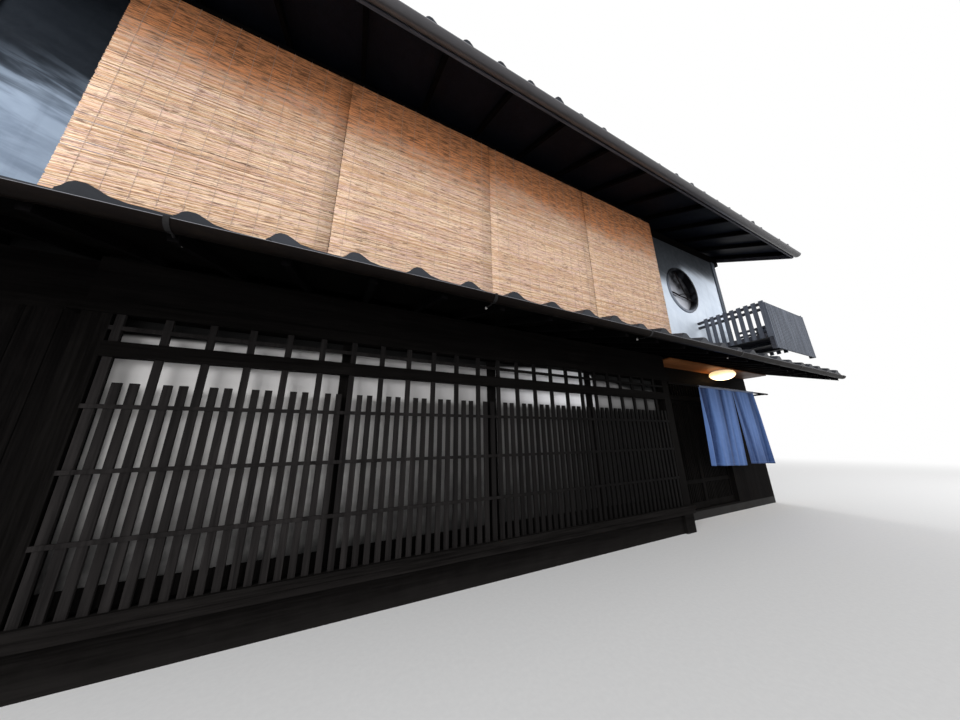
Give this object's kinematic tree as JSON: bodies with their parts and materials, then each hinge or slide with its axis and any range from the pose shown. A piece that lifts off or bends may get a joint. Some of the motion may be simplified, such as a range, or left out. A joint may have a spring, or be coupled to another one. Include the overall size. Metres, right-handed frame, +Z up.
{
  "type": "machiya townhouse",
  "caption": "Two-storey wooden townhouse with a projecting lattice bay, sliding lattice doors behind a split curtain, a tiled pent roof, reed blinds and a round window.",
  "frame": {"origin": "on the ground under the middle of the roof", "axes": "+X along the street to the right, -Y towards the street, +Z up"},
  "size_m": [11.85, 10.1206, 8.022],
  "materials": {
    "black_timber": "black stained timber, satin, worn at the edges",
    "brown_timber": "brown planed boards, satin",
    "floor_wood": "planed floor boards",
    "plaster": "blue-grey lime plaster, trowelled",
    "stone": "dressed stone and rammed floor",
    "pale_screen": "pale translucent sheet",
    "indigo_cloth": "faded indigo cotton",
    "lamp_metal": "white enamel",
    "opal_shade": "opal glass, lit warm white",
    "roof_tile": "smoked clay tile, silvery dark grey",
    "dark_gutter": "dark brown sheet",
    "grey_gutter": "mid grey sheet, satin",
    "reed": "golden reed",
    "window_glass": "clear float glass",
    "branch_wood": "debarked dark branch"
  },
  "bodies": {
    "house": {"footing": "stone", "ground_floor": "stone", "floor_joists": "black_timber", "floor_boards": "floor_wood", "party_walls": "plaster", "rear_wall": "plaster", "front_posts": "black_timber", "boarded_walls": "black_timber", "lintel_beam": "black_timber", "front_wall_upper": "plaster", "round_window_wall": "plaster", "roof_beams": "black_timber", "bay_base": "black_timber", "bay_sill": "black_timber", "bay_posts": "black_timber", "bay_head_rail": "black_timber", "bay_top_beam": "black_timber", "bay_cheeks": "black_timber", "bay_lattice": "black_timber", "transom_grid": "black_timber", "screen_frames": "black_timber", "screen_panels": "pale_screen", "entrance_frame": "black_timber", "entrance_ceiling": "brown_timber", "noren_rod": "black_timber", "noren": "indigo_cloth", "lamp_base": "lamp_metal", "lamp_shade": "opal_shade", "pent_rafters": "black_timber", "pent_boards": "black_timber", "pent_tiles": "roof_tile", "pent_gutter": "dark_gutter", "roof_rafters": "black_timber", "roof_boards": "black_timber", "roof_tiles": "roof_tile", "ridge_course": "roof_tile", "barge_boards": "black_timber", "eave_gutters": "grey_gutter", "blind_rail": "black_timber", "reed_blinds": "reed", "window_sashes": "black_timber", "window_glass": "window_glass", "round_window_ring": "black_timber", "round_window_branches": "branch_wood", "round_window_pane": "pale_screen", "corner_boards": "black_timber", "balcony_frame": "black_timber", "balcony_deck": "black_timber", "balcony_slats": "black_timber"},
    "left_leaf": {"door_leaf_left": "black_timber", "leaf_glass_left": "window_glass"},
    "right_leaf": {"door_leaf_right": "black_timber", "leaf_glass_right": "window_glass"}
  },
  "joints": [
    {"name": "left_leaf_slide", "type": "slide", "parent": "house", "child": "left_leaf", "axis": [1, 0, 0], "range_m": [0, 0.94]},
    {"name": "right_leaf_slide", "type": "slide", "parent": "house", "child": "right_leaf", "axis": [1, 0, 0], "range_m": [-0.94, 0]}
  ]
}
